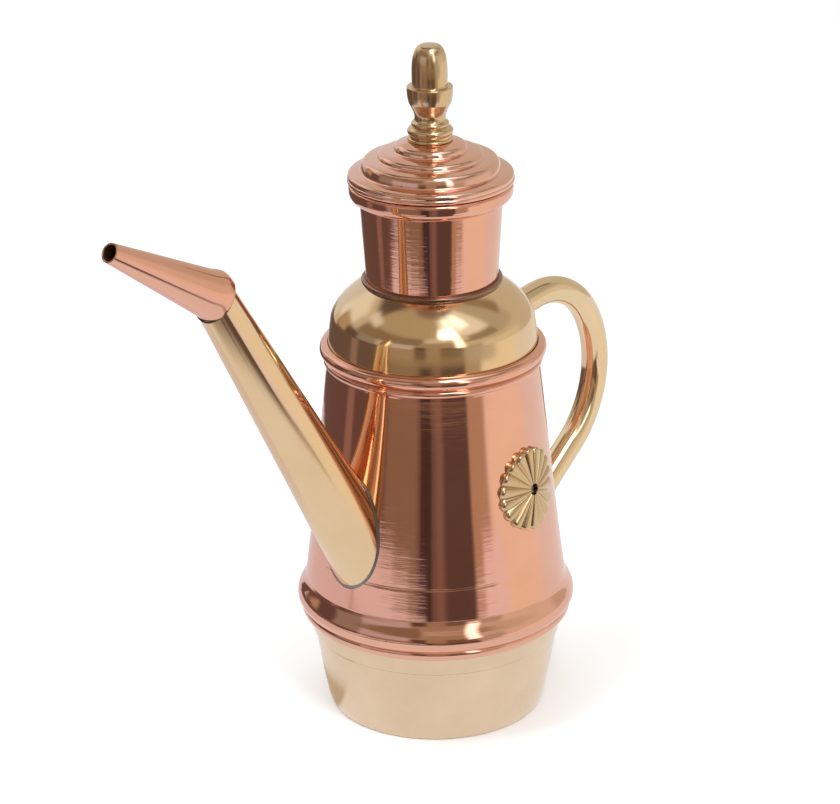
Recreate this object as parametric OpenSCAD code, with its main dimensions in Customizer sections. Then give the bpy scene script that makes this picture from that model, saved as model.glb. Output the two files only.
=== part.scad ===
// Copper and brass oil can with a long jointed spout, a hollow handle and a lift-off lid.
// Frame: origin at the centre of the foot's underside, +Z up, +X towards the spout.
// All sizes are in millimetres.

/* [Sheet metal] */
// Thickness of the copper and brass sheet
sheet_t = 0.9; // [0.7:0.1:1.0]
// Thickness of the flat bottom of the foot
bottom_t = 1.0; // [0.8:0.1:1.6]

/* [Foot] */
// Radius of the wall just above the rounded bottom edge
foot_low_r = 44.2; // [43:0.1:45]
// Radius of the corner between the bottom and the wall
foot_corner_r = 1.6; // [1.2:0.1:2.2]
// Radius of the wall where the cove begins
foot_waist_r = 48.9; // [48:0.1:49.5]
// Height of the start of the cove
foot_waist_z = 24.7; // [22:0.1:27]
// Radius of the band at the top of the foot
foot_band_r = 52.4; // [52:0.1:52.6]
// Height of the lower edge of that band
foot_band_z = 33.1; // [31:0.1:34]
// Height of the joint between foot and body
foot_h = 40.2; // [39:0.1:41]

/* [Body] */
// Height of the lower bead's widest line
low_bead_z = 48.6; // [48:0.1:49]
// Radius at the lower bead's widest line
low_bead_r = 56.9; // [56:0.1:58]
// Radius of the cone where it leaves the flare above the lower bead
cone_low_r = 53.2; // [52.5:0.1:54]
// Height at which the cone begins
cone_low_z = 58.8; // [57:0.1:61]
// Radius at the top of the cone
cone_top_r = 43.1; // [42.8:0.1:43.4]
// Height of the top of the cone
cone_top_z = 148.2; // [147:0.1:149]
// Height of the middle of the upper bead
top_bead_z = 155.5; // [155:0.1:156]
// Radius at the upper bead's widest line
top_bead_r = 45.7; // [45.2:0.1:45.9]

/* [Shoulder and collar] */
// Radius of the shoulder's wall just above the body
shoulder_r = 42.3; // [42:0.1:42.4]
// Height of the top of the shoulder's opening
shoulder_top_z = 184; // [183:0.1:186]
// Radius of the collar where it leaves the shoulder
collar_low_r = 26.4; // [26:0.1:26.8]
// Radius of the collar just under its rim
collar_top_r = 28.4; // [28.2:0.1:28.8]
// Height at which the rim begins to flare
rim_low_z = 217; // [216:0.1:218]
// Height of the top of the rim
rim_top_z = 224.6; // [224:0.1:225]
// Radius of the rim
rim_r = 32.65; // [32:0.05:33]

/* [Spout] */
// Distance of the elbow from the can's axis
elbow_x = 118.2; // [110:0.1:125]
// Height of the elbow
elbow_z = 209.3; // [200:0.1:215]
// Slope of the lower tube above the horizontal, in degrees
tube_slope = 59.7; // [57:0.1:62]
// Radius of the lower tube at the elbow
tube_elbow_r = 8.25; // [7.5:0.05:9]
// Radius gained for each millimetre down the lower tube
tube_taper = 0.0415; // [0.03:0.0005:0.05]
// Slope of the tip above the horizontal, in degrees
tip_slope = 30.7; // [25:0.1:35]
// Length of the tip from the elbow to its mouth
tip_len = 55.9; // [45:0.1:60]
// Radius of the tip at the elbow
tip_elbow_r = 9.4; // [9:0.05:9.6]
// Radius of the tip's mouth
mouth_r = 3.85; // [3.5:0.05:5]

/* [Handle] */
// Radius of the handle's tube at its lower end
handle_r = 5.73; // [5:0.01:6.5]
// Distance of the large arc's centre from the can's axis
arc_x = 54.4; // [53:0.1:56]
// Height of the large arc's centre
arc_z = 121.5; // [120:0.1:123]
// Radius of the large arc, to the tube's centre
arc_r = 44.9; // [43:0.1:46]
// Radius of the small arc at the top, to the tube's centre
crown_r = 31.8; // [30:0.1:34]

/* [Rosettes] */
// Radius of a rosette
rosette_r = 17; // [15:0.5:19]
// Height of a rosette's centre
rosette_z = 105; // [95:1:115]
// Angle of a rosette from the spout, about the can's axis
rosette_azimuth = 96; // [90:1:100]
// Number of petals
petals = 18; // [12:1:24]

/* [Lid] */
// Radius of the lid's rim
lid_r = 33.15; // [32.7:0.05:33.6]
// Height of the lid's underside, just clear of the collar's rim
lid_z = 224.9; // [224.8:0.05:225.4]
// Height of the lid's top, where the knob stands
lid_top_z = 241.7; // [241:0.1:243]
// Outer radius of the sleeve that guides the lid in the collar
sleeve_r = 26.7; // [26:0.05:26.8]
// Height of the sleeve's lower edge
sleeve_low_z = 207; // [206:0.5:214]

/* [Knob] */
// Height of the knob's tip above the table
knob_top_z = 280; // [278:0.1:284]
// Radius of the knob's base, bead and cup
knob_r = 9.1; // [8.8:0.05:9.6]
// Radius of the acorn
acorn_r = 7; // [6.5:0.05:7.5]

/* [Hidden] */
$fn = 96;
EPS = 0.01;
COPPER = [0.80, 0.48, 0.37];
BRASS = [0.83, 0.70, 0.43];
SOLDER = [0.42, 0.42, 0.43];
STEEL = [0.60, 0.60, 0.62];

// The foot's top edge stands inside the body's lip
foot_tuck_r = foot_band_r + 0.1;
foot_step_r = foot_band_r - 1.4;
foot_tuck_h = 4;
// The body's lip, a shallow bead below the lower bead
lip_r = 2.6;
lip_x = foot_band_r + 0.4;
crease_z = 45.7;
low_bead_curve = 4.6;
bead_top_curve = 7;
// The upper bead and the thin bead under it
top_bead_curve = 2.75;
thin_bead_curve = 1.5;
thin_bead_z = top_bead_z - 4.7;
// The shoulder's lower edge, inside the body's upper bead
shoulder_low_z = 152.2;
shoulder_turn_z = shoulder_top_z - 15.5;
// The collar's lower edge, inside the shoulder's opening
collar_low_z = 181.5;
collar_mouth_r = collar_low_r + 0.05;
// The tip's skirt wraps the top of the lower tube
tube_dir = [cos(tube_slope), 0, sin(tube_slope)];
tube_root_len = 166;
tube_hole_stop = 60;
tube_len_in_tip = 0.9;
skirt_back = 3.1;
skirt_plane_slope = 37.8;
skirt_wall = 0.7;
knuckle_r = tip_elbow_r + 0.15;
solder_w = 1.8;
solder_h = 1.1;
seam_h = 0.8;
// The handle's tube: crown, large arc and a straight run at each end
handle_wall = 0.9;
handle_solder_w = 1.4;
draw = 0.02;
arc_join = 33.5;
crown_end = 98;
arc_end = -50;
crown_x = arc_x + (arc_r - crown_r) * cos(arc_join);
crown_z = arc_z + (arc_r - crown_r) * sin(arc_join);
run_len = 50;
// Rosette shell
rosette_h = 2.4;
rosette_wall = 0.6;
rosette_tilt = 5.5;
rosette_x = 48.5;
rosette_hole_r = 2.4;
rosette_bend_r = 46;
rosette_squash = 0.98;
// Lid steps: riser radius and the height of the tread above it
step_r = [27.7, 21, 14.5];
step_z = [234.3, 237.3, 240.9];
lid_flange_z = 229;
sleeve_top_z = step_z[0] - 3.8;
wire_r = 0.75;
// The screw that holds the knob
screw_r = 2;
screw_head_r = 3.6;
screw_head_h = 2.2;
washer_r = 6;
washer_t = 0.8;

// Points of an arc about [cx, cy] from angle a0 to a1
function arc(cx, cy, r, a0, a1, n = 8) =
  [for (i = [0:n]) let (a = a0 + (a1 - a0) * i / n) [cx + r * cos(a), cy + r * sin(a)]];

// Points of a cubic curve from p to s, steered by q and r
function curve(p, q, r, s, n = 8) =
  [for (i = [0:n]) let (t = i / n, u = 1 - t)
    u * u * u * p + 3 * u * u * t * q + 3 * u * t * t * r + t * t * t * s];

// Unit normal of a path at point i, to the right of its direction
function side(path, i) =
  let (a = path[max(i - 1, 0)], b = path[min(i + 1, len(path) - 1)], d = b - a)
  [d[1], -d[0]] / norm(d);

// A path moved sideways by d, to the right of its direction
function shifted(path, d) = [for (i = [0:len(path) - 1]) path[i] + d * side(path, i)];

function backwards(path) = [for (i = [len(path) - 1:-1:0]) path[i]];

// Outer outlines, from the bottom up, as [radius, height]
function foot_outline() = concat(
  [[0, 0]],
  arc(foot_low_r - foot_corner_r, foot_corner_r, foot_corner_r, -90, -8, 6),
  curve([foot_low_r + 0.9, 3.9], [foot_low_r + 2.6, 11],
        [foot_waist_r - 0.7, foot_waist_z - 5], [foot_waist_r, foot_waist_z], 6),
  curve([foot_waist_r + 0.2, foot_waist_z + 1], [foot_waist_r + 0.6, foot_waist_z + 3],
        [foot_waist_r + 1, foot_band_z - 2.2], [foot_step_r - 0.8, foot_band_z - 0.9], 5),
  arc(foot_step_r - 0.7, foot_band_z + 0.4, 0.7, -70, 0, 4),
  [[foot_band_r, foot_h - 0.7], [foot_tuck_r, foot_h + 1], [foot_tuck_r, foot_h + foot_tuck_h]]
);

function body_outline() = concat(
  arc(lip_x, crease_z - 2.4, lip_r, -78, 52, 8),
  arc(low_bead_r - low_bead_curve, low_bead_z, low_bead_curve, -42, 0, 7),
  arc(low_bead_r - bead_top_curve, low_bead_z, bead_top_curve, 4, 30, 6),
  curve([low_bead_r - 1.15, low_bead_z + 3.9], [cone_low_r + 0.8, cone_low_z - 3.4],
        [cone_low_r + 0.35, cone_low_z - 2.8], [cone_low_r, cone_low_z], 6),
  curve([cone_low_r - 1.1, cone_low_z + 8], [cone_low_r - 2.9, cone_low_z + 22],
        [cone_top_r + 3.4, cone_top_z - 32], [cone_top_r, cone_top_z], 8),
  arc(top_bead_r - 3, thin_bead_z, thin_bead_curve, -75, 62, 6),
  arc(top_bead_r - top_bead_curve, top_bead_z, top_bead_curve, -62, 100, 9)
);

function shoulder_outline() = concat(
  [[shoulder_r, shoulder_low_z], [shoulder_r, 160]],
  curve([shoulder_r - 0.3, 163], [shoulder_r - 0.8, shoulder_turn_z - 2.5],
        [shoulder_r - 1.1, shoulder_turn_z - 1], [shoulder_r - 1.3, shoulder_turn_z], 3),
  curve([shoulder_r - 1.5, shoulder_turn_z + 1.2], [shoulder_r - 2.7, shoulder_turn_z + 5.5],
        [collar_mouth_r + 6.55, shoulder_top_z - 3.8], [collar_mouth_r, shoulder_top_z], 12)
);

function collar_outline() = concat(
  [[collar_low_r - 0.2, collar_low_z]],
  [[collar_low_r, shoulder_top_z]],
  [[collar_top_r, rim_low_z]],
  curve([collar_top_r + 0.9, rim_low_z + 0.4], [collar_top_r + 2.6, rim_low_z + 1],
        [rim_r, rim_low_z + 2.4], [rim_r, rim_low_z + 4.6], 7),
  arc(rim_r - 1.4, rim_top_z - 1.4, 1.4, 0, 90, 6),
  arc(collar_top_r + 2, rim_top_z - 1.3, 1.3, 90, 172, 5),
  [[collar_top_r + 0.75, rim_low_z + 3.4]]
);

// Lid cap from the curled edge under the rim up to the centre
function lid_outline() = concat(
  [[lid_r - 3.2, lid_z + 1], [lid_r - 2.8, lid_z]],
  arc(lid_r - 1.1, lid_z + 1.1, 1.1, -90, 50, 7),
  arc(lid_r - 1.75, lid_flange_z - 1.35, 1.45, -18, 80, 6),
  tread(lid_r - 2.2, lid_flange_z + 0.25, step_r[0], step_z[0]),
  tread(step_r[0] - 2.4, step_z[0] + 0.05, step_r[1], step_z[1]),
  tread(step_r[1] - 2.4, step_z[1] + 0.05, step_r[2], step_z[2]),
  [[step_r[2] - 3.2, lid_top_z - 0.45], [step_r[2] - 4.4, lid_top_z - 0.05],
   [step_r[2] - 4.8, lid_top_z], [screw_r + 0.2, lid_top_z]]
);

// A gently domed tread from radius r0 in to the foot of the next riser, and the riser's rounded top
function tread(r0, z0, r1, z1) = concat(
  curve([r0, z0], [r0 - 1.2, z0 + 0.25], [r1 + 1.5, z0 + 0.4], [r1 + 0.5, z0 + 0.5], 5),
  curve([r1 + 0.05, z0 + 0.95], [r1 - 0.05, z0 + 1.8], [r1 - 0.6, z1 - 0.3], [r1 - 2.2, z1], 6)
);

// Turned outline of the knob
function knob_outline() = concat(
  [[0, lid_top_z]],
  arc(knob_r - 0.7, lid_top_z + 0.7, 0.7, -90, 80, 6),
  [[knob_r - 0.85, lid_top_z + 1.55]],
  arc(knob_r - 1.75, lid_top_z + 3.75, 1.75, -60, 62, 8),
  arc(knob_r - 2.75, lid_top_z + 6.7, 1.15, -50, 62, 6),
  curve([knob_r - 2.7, lid_top_z + 8.1], [knob_r - 3.2, lid_top_z + 9.4],
        [knob_r - 3.1, lid_top_z + 10.8], [knob_r - 0.95, lid_top_z + 14.7], 7),
  curve([knob_r - 0.75, lid_top_z + 15.1], [knob_r - 0.3, lid_top_z + 16.6],
        [knob_r, lid_top_z + 18.3], [knob_r, lid_top_z + 20.5], 5),
  arc(knob_r - 0.5, lid_top_z + 21.4, 0.5, 0, 90, 4),
  [[acorn_r + 0.2, lid_top_z + 21.9], [acorn_r, lid_top_z + 22.2]],
  curve([acorn_r + 0.1, knob_top_z - 12], [acorn_r + 0.1, knob_top_z - 5],
        [acorn_r - 0.7, knob_top_z - 3.2], [acorn_r - 1.6, knob_top_z - 1.6], 7),
  curve([acorn_r - 2, knob_top_z - 1], [acorn_r - 2.6, knob_top_z - 0.3],
        [acorn_r - 3.1, knob_top_z], [acorn_r - 4, knob_top_z], 4),
  [[0, knob_top_z]]
);

// A revolved sheet whose outer face follows the outline
module spun_sheet(outline, t) {
  rotate_extrude() polygon(concat(outline, backwards(shifted(outline, -t))));
}

// The can's outside as one solid of revolution, grown by g; the fittings are cut to it
module can_outside(g = 0) {
  wall = concat(body_outline(), [for (p = shoulder_outline()) if (p[1] >= 160) p]);
  grown = shifted(wall, g);
  rotate_extrude() polygon(concat([[0, foot_h]], grown, [[0, shoulder_top_z + g]]));
}

// A cone along the lower tube's axis: grow widens it, start and stop are measured back from the elbow
module tube_cone(grow, start, stop) {
  translate([elbow_x, 0, elbow_z]) rotate([0, 90 - tube_slope, 0]) translate([0, 0, -start])
    cylinder(h = start - stop, r1 = tube_elbow_r + grow + tube_taper * start,
             r2 = tube_elbow_r + grow + tube_taper * stop);
}

// Everything below the plane of the skirt's rim, moved down the tube by shift
module below_skirt(shift = 0) {
  translate([elbow_x, 0, elbow_z] - (skirt_back + shift) * tube_dir)
    rotate([0, 90 - skirt_plane_slope, 0]) translate([-60, -60, -120]) cube(120);
}

// The tip's form: skirt, knuckle and cone, shrunk by s
module tip_form(s) {
  translate([elbow_x, 0, elbow_z]) rotate([0, 90 - tube_slope, 0]) translate([0, 0, -20])
    cylinder(h = 20, r = tube_elbow_r + skirt_wall + 0.1 - s);
  translate([elbow_x, 0, elbow_z]) sphere(r = knuckle_r - s);
  translate([elbow_x, 0, elbow_z]) rotate([0, 90 - tip_slope, 0])
    cylinder(h = tip_len + (s > 0 ? 1 : 0), r1 = tip_elbow_r - s, r2 = mouth_r - s);
}

// The tube's section; a bore of 0 leaves it solid
module section(r, bore) {
  difference() {
    circle(r = r);
    if (bore > 0) circle(r = bore);
  }
}

// One bent stretch of tube about a centre in the handle's plane
module bend(cx, cz, bend_r, from, to, r, bore) {
  translate([-cx, 0, cz]) rotate([90, 0, 0]) rotate([0, 0, from])
    rotate_extrude(angle = to - from) translate([bend_r, 0]) section(r, bore);
}

// One straight run of tube from a bend's end into the can, at the given angle from the vertical
module run(cx, cz, bend_r, at, slope, r, bore) {
  translate([-cx + bend_r * cos(at), 0, cz + bend_r * sin(at)]) rotate([0, slope, 0])
    linear_extrude(height = run_len) section(r, bore);
}

// The four stretches; the tube thins by draw at each bend, from the low end up
module handle_form(r, wall = 0) {
  r1 = r - draw;
  r2 = r - 2 * draw;
  r3 = r - 3 * draw;
  run(arc_x, arc_z, arc_r, 180 - arc_end, 180 + arc_end, r, wall > 0 ? r - wall : 0);
  bend(arc_x, arc_z, arc_r, 180 - arc_join, 180 - arc_end, r1, wall > 0 ? r1 - wall : 0);
  bend(crown_x, crown_z, crown_r, 180 - crown_end, 180 - arc_join, r2, wall > 0 ? r2 - wall : 0);
  run(crown_x, crown_z, crown_r, 180 - crown_end, crown_end, r3, wall > 0 ? r3 - wall : 0);
}

// Places a rosette's pieces on the body's wall; way is 1 for the left side and -1 for the right
module on_wall(way) {
  rotate([0, 0, way * rosette_azimuth]) translate([rosette_x, 0, rosette_z])
    rotate([0, 90 - rosette_tilt, 0]) children();
}

module petal_plate(r, h) {
  edge = [for (i = [0:petals * 6 - 1]) let (a = 360 * i / (petals * 6))
    (r - 0.9 + 0.9 * abs(cos(a * petals / 2))) * [cos(a), rosette_squash * sin(a)]];
  linear_extrude(height = h) polygon(edge);
}

module rosette_dome(s) {
  top = curve([rosette_r - s, 0.9 - s], [rosette_r - 2 - s, 2 - s],
              [rosette_r / 2, rosette_h - s], [rosette_hole_r + 0.4, rosette_h - s - 0.3], 8);
  intersection() {
    rotate_extrude() polygon(concat([[0, -5], [rosette_r - s, -5]], top, [[0, rosette_h - s - 0.3]]));
    translate([-rosette_r - 1, 0, rosette_h - rosette_bend_r]) rotate([0, 90, 0])
      cylinder(h = 2 * rosette_r + 2, r = rosette_bend_r - s);
  }
}

module petal_grooves() {
  for (i = [0:petals - 1])
    let (turn = (i + 0.5) * 360 / petals)
      rotate([0, 0, turn]) translate([4.6, 0, rosette_h + 0.2])
        rotate([0, 94 + 13 * sin(turn) * sin(turn), 0]) cylinder(h = rosette_r, r = 0.6, $fn = 24);
}

module rosette(way) {
  color(BRASS) difference() {
    on_wall(way) difference() {
      intersection() {
        rosette_dome(0);
        translate([0, 0, -5]) petal_plate(rosette_r, 12);
      }
      rosette_dome(rosette_wall + 0.9);
      petal_grooves();
      translate([0, 0, -6]) cylinder(h = 14, r = rosette_hole_r);
    }
    can_outside();
  }
}

module rosette_fixing(way) {
  color(SOLDER) difference() {
    on_wall(way) {
      difference() {
        intersection() {
          rosette_dome(rosette_wall + 0.9);
          translate([0, 0, -4]) cylinder(h = 8, r = 7);
        }
        translate([0, 0, -5]) cylinder(h = 12, r = rosette_hole_r + 0.6);
      }
      translate([0, 0, -3]) cylinder(h = 3.6, r = 1.3);
    }
    can_outside();
  }
}

module foot_cup() {
  outline = foot_outline();
  n = len(outline) - 1;
  wall = [for (i = [4:n]) outline[i]];
  color(BRASS) rotate_extrude()
    polygon(concat(outline, backwards(shifted(wall, -sheet_t)), [[0, bottom_t]]));
}

module foot_solder() {
  color(SOLDER) rotate_extrude()
    polygon([[foot_tuck_r + 0.02, foot_h + 1], [foot_tuck_r + 0.3, foot_h + 1],
             [foot_tuck_r + 0.9, foot_h + 2.2], [foot_tuck_r + 0.9, foot_h + 3.2],
             [foot_tuck_r + 0.02, foot_h + foot_tuck_h]]);
}

module body_shell() {
  color(COPPER) difference() {
    spun_sheet(body_outline(), sheet_t);
    tube_cone(-sheet_t, tube_root_len, tube_hole_stop);
  }
}

module shoulder_dome() {
  color(BRASS) difference() {
    spun_sheet(shoulder_outline(), sheet_t);
    translate([0, 0, shoulder_top_z - 2]) cylinder(r = collar_mouth_r, h = 4);
  }
}

module shoulder_solder() {
  color(SOLDER) rotate_extrude()
    polygon([[shoulder_r + 0.02, top_bead_z - 1.2], [shoulder_r + 1, top_bead_z - 1],
             [shoulder_r + 1.5, top_bead_z], [shoulder_r + 1, top_bead_z + 1],
             [shoulder_r + 0.02, top_bead_z + 1.2]]);
}

module neck_collar() {
  color(COPPER) spun_sheet(collar_outline(), sheet_t);
}

module neck_solder() {
  fillet = arc(collar_low_r + 1.9, shoulder_top_z + 1.3, 1.7, 188, 235, 6);
  color(SOLDER) difference() {
    rotate_extrude()
      polygon(concat([[collar_low_r - 0.3, shoulder_top_z - 1], [collar_low_r, shoulder_top_z + 1.05]],
                     fillet, [[collar_low_r + 1.2, shoulder_top_z - 2]]));
    can_outside();
    rotate_extrude() polygon([[0, collar_low_z], [collar_low_r, shoulder_top_z],
                              [collar_top_r, rim_low_z], [0, rim_low_z]]);
  }
}

module spout_tube() {
  color(BRASS) difference() {
    tube_cone(0, tube_root_len, tube_len_in_tip);
    tube_cone(-sheet_t, tube_root_len + 1, tube_len_in_tip - 1);
    can_outside();
  }
}

module spout_root_solder() {
  color(SOLDER) difference() {
    intersection() {
      tube_cone(solder_w, tube_root_len, tube_hole_stop);
      can_outside(solder_h);
    }
    tube_cone(0, tube_root_len + 1, tube_hole_stop - 1);
    can_outside();
  }
}

module spout_tip() {
  color(COPPER) difference() {
    tip_form(0);
    tip_form(skirt_wall);
    tube_cone(EPS, 40, tube_len_in_tip - EPS);
    below_skirt();
  }
}

module tip_solder() {
  color(SOLDER) difference() {
    tube_cone(0.45, 20, 0);
    tube_cone(0, 21, -1);
    below_skirt(seam_h);
    translate(-seam_h * tube_dir) difference() {
      translate([elbow_x, 0, elbow_z]) sphere(r = 40);
      below_skirt(EPS - seam_h);
    }
  }
}

module handle_tube() {
  color(BRASS) difference() {
    handle_form(handle_r, handle_wall);
    can_outside();
  }
}

// The solder round one end of the handle; its child is the zone that the solder may fill
module handle_joint() {
  color(SOLDER) difference() {
    intersection() {
      handle_form(handle_r + handle_solder_w);
      children();
    }
    handle_form(handle_r);
    can_outside();
  }
}

module handle_upper_solder() {
  handle_joint() translate([0, 0, thin_bead_z]) cylinder(h = 20, r = shoulder_r + 1);
}

module handle_lower_solder() {
  handle_joint() intersection() {
    can_outside(1);
    translate([-80, -40, cone_low_z]) cube([80, 80, 40]);
  }
}

module rosette_left() {
  rosette(1);
}

module rosette_right() {
  rosette(-1);
}

module rosette_left_solder() {
  rosette_fixing(1);
}

module rosette_right_solder() {
  rosette_fixing(-1);
}

module lid_cap() {
  color(COPPER) spun_sheet(lid_outline(), sheet_t);
}

module lid_rim_wire() {
  color(STEEL) rotate_extrude() translate([lid_r - 3.2, lid_z + 2.2]) circle(r = wire_r, $fn = 24);
}

module lid_sleeve() {
  color(COPPER) rotate_extrude()
    translate([sleeve_r - sheet_t, sleeve_low_z]) square([sheet_t, sleeve_top_z - sleeve_low_z]);
}

module lid_sleeve_solder() {
  under_lid = shifted(lid_outline(), -sheet_t - EPS);
  color(SOLDER) rotate_extrude() difference() {
    polygon([[sleeve_r + 0.02, lid_flange_z - 1.4], [sleeve_r + 1.2, lid_flange_z - 0.2],
             [sleeve_r + 1, lid_flange_z + 0.1], [sleeve_r + 0.02, lid_flange_z + 0.2]]);
    polygon(concat(under_lid, [[0, lid_top_z], [0, lid_top_z + 9],
                               [lid_r + 9, lid_top_z], [lid_r + 9, lid_z]]));
  }
}

module lid_knob() {
  color(BRASS) difference() {
    rotate_extrude() polygon(knob_outline());
    translate([0, 0, lid_top_z - 1]) cylinder(h = 10.5, r = screw_r + 0.03);
  }
}

module knob_washer() {
  color(STEEL) translate([0, 0, lid_top_z - sheet_t - washer_t - EPS]) difference() {
    cylinder(h = washer_t, r = washer_r);
    translate([0, 0, -1]) cylinder(h = washer_t + 2, r = screw_r + 0.2);
  }
}

module knob_screw() {
  head_z = lid_top_z - sheet_t - washer_t - 2 * EPS;
  color(STEEL) difference() {
    union() {
      translate([0, 0, head_z - screw_head_h]) cylinder(h = screw_head_h, r = screw_head_r);
      translate([0, 0, head_z - EPS]) cylinder(h = lid_top_z + 9 - head_z, r = screw_r);
    }
    translate([-screw_head_r - 1, -0.5, head_z - screw_head_h - 1])
      cube([2 * screw_head_r + 2, 1, 2]);
  }
}

foot_cup();
foot_solder();
body_shell();
shoulder_dome();
shoulder_solder();
neck_collar();
neck_solder();
spout_tube();
spout_root_solder();
spout_tip();
tip_solder();
handle_tube();
handle_upper_solder();
handle_lower_solder();
rosette_left();
rosette_right();
rosette_left_solder();
rosette_right_solder();
lid_cap();
lid_rim_wire();
lid_sleeve();
lid_sleeve_solder();
lid_knob();
knob_washer();
knob_screw();
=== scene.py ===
"""Looks of the copper and brass oil can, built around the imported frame. Outlines are in millimetres."""
import math

import bmesh
import bpy
from mathutils import Matrix, Vector, noise


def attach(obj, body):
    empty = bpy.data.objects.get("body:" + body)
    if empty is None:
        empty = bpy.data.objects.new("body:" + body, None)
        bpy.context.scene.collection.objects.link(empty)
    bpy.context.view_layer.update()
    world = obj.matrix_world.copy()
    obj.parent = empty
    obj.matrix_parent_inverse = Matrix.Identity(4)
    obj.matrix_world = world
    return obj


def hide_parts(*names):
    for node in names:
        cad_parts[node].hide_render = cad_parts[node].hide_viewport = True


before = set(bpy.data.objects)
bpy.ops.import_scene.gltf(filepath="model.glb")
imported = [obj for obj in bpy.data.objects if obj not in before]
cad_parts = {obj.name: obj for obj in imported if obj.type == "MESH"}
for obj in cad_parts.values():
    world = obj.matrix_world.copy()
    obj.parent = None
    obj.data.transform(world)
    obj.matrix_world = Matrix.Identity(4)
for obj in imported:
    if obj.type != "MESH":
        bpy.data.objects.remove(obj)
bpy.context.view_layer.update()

MM = 0.001
TURN = 2 * math.pi
SHEET = 0.9

# ---------------------------------------------------------------- driving sizes, as in the frame
FOOT_LOW_R, FOOT_CORNER_R, FOOT_WAIST_R, FOOT_WAIST_Z = 44.2, 1.6, 48.9, 24.7
FOOT_BAND_R, FOOT_BAND_Z, FOOT_H, FOOT_TUCK = 52.4, 33.1, 40.2, 4.0
FOOT_STEP_R = FOOT_BAND_R - 1.4
LOW_BEAD_Z, LOW_BEAD_R, LOW_BEAD_CURVE, BEAD_TOP_CURVE = 48.6, 56.9, 4.6, 7.0
LIP_R, LIP_X, CREASE_Z = 2.6, FOOT_BAND_R + 0.4, 45.7
CONE_LOW_R, CONE_LOW_Z, CONE_TOP_R, CONE_TOP_Z = 53.2, 58.8, 43.1, 148.2
TOP_BEAD_Z, TOP_BEAD_R, TOP_BEAD_CURVE, THIN_BEAD_CURVE = 155.5, 45.7, 2.75, 1.5
SHOULDER_R, SHOULDER_LOW_Z, SHOULDER_TOP_Z = 42.3, 152.2, 184.0
COLLAR_LOW_R, COLLAR_TOP_R, COLLAR_LOW_Z = 26.4, 28.4, 181.5
RIM_LOW_Z, RIM_TOP_Z, RIM_R = 217.0, 224.6, 32.65
ELBOW = Vector((118.2, 0, 209.3))
TUBE_SLOPE, TUBE_ELBOW_R, TUBE_TAPER = math.radians(59.7), 8.25, 0.0415
TIP_SLOPE, TIP_LEN, TIP_ELBOW_R, MOUTH_R = math.radians(30.7), 55.9, 9.55, 3.85
TIP_DROP = 0.4
SKIRT_SLOPE, SKIRT_BACK, SKIRT_WALL = math.radians(37.8), 3.1, 0.7
SKIRT_GAP, SKIRT_FLARE = 0.25, 0.14
HANDLE_R, ARC_X, ARC_Z, ARC_R, CROWN_R = 5.73, 54.4, 121.5, 44.9, 31.8
ARC_JOIN, CROWN_END, ARC_END = math.radians(33.5), math.radians(98), math.radians(-50)
ROSETTE_R, ROSETTE_Z, ROSETTE_AZIMUTH, PETALS = 17.0, 105.0, 96.0, 18
ROSETTE_X, ROSETTE_TILT, ROSETTE_H, ROSETTE_HOLE_R = 48.5, math.radians(5.5), 2.1, 2.4
ROSETTE_BEND_R, ROSETTE_SQUASH, ROSETTE_CURL, ROSETTE_CURL_W = 42.0, 0.98, 1.0, 1.4
ROSETTE_T, ROSETTE_DISH, PETAL_DEPTH, PETAL_SCALLOP, PETAL_ROUND = 0.6, 0.002, 1.5, 1.0, 0.75
LID_R, LID_Z, LID_TOP_Z, LID_FLANGE_Z = 33.15, 224.9, 241.7, 229.0
STEP_R = (27.7, 21.0, 14.5)
STEP_Z = (234.3, 237.3, 240.9)
SLEEVE_R, SLEEVE_LOW_Z, SLEEVE_TOP_Z = 26.7, 207.0, STEP_Z[0] - 3.8
SLEEVE_T, SLEEVE_EDGE_R = SHEET * 0.8, 0.7
KNOB_TOP_Z, KNOB_R, ACORN_R = 280.0, 9.1, 7.0
SCREW_R, KNOB_HOLE_H = 2.0, 9
BOTTOM_T = 1.0
HANDLE_TAPER = 0.06
# Fine lines turned into the body: height, depth, width
SCRIBED_LINES = ((70.6, 0.10, 0.28), (57.4, 0.08, 0.25))


# ---------------------------------------------------------------- outlines
def arc(cx, cy, r, a0, a1, n=16):
    """Points of an arc about (cx, cy), angles in degrees."""
    steps = [math.radians(a0 + (a1 - a0) * i / n) for i in range(n + 1)]
    return [(cx + r * math.cos(a), cy + r * math.sin(a)) for a in steps]


def curve(p, q, r, s, n=16):
    """Points of a cubic curve from p to s, steered by q and r."""
    out = []
    for i in range(n + 1):
        t = i / n
        u = 1 - t
        weights = (u ** 3, 3 * u * u * t, 3 * u * t * t, t ** 3)
        out.append(tuple(sum(w * c[k] for w, c in zip(weights, (p, q, r, s))) for k in (0, 1)))
    return out


def densify(path, step):
    """The same path with no gap longer than step."""
    out = [path[0]]
    for a, b in zip(path[:-1], path[1:]):
        n = max(1, math.ceil(math.dist(a, b) / step))
        out += [(a[0] + (b[0] - a[0]) * i / n, a[1] + (b[1] - a[1]) * i / n) for i in range(1, n + 1)]
    return out


def shifted(path, d):
    """A path moved sideways by d, to the right of its direction."""
    out = []
    last = len(path) - 1
    for i, p in enumerate(path):
        a, b = path[max(i - 1, 0)], path[min(i + 1, last)]
        length = math.dist(a, b) or 1.0
        out.append((p[0] + d * (b[1] - a[1]) / length, p[1] - d * (b[0] - a[0]) / length))
    return out


def scribed(path, z0, depth, width):
    """A path with a fine turned line cut into it at height z0."""
    return [(r - depth * math.exp(-(((z - z0) / width) ** 2)), z) for r, z in path]


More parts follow.
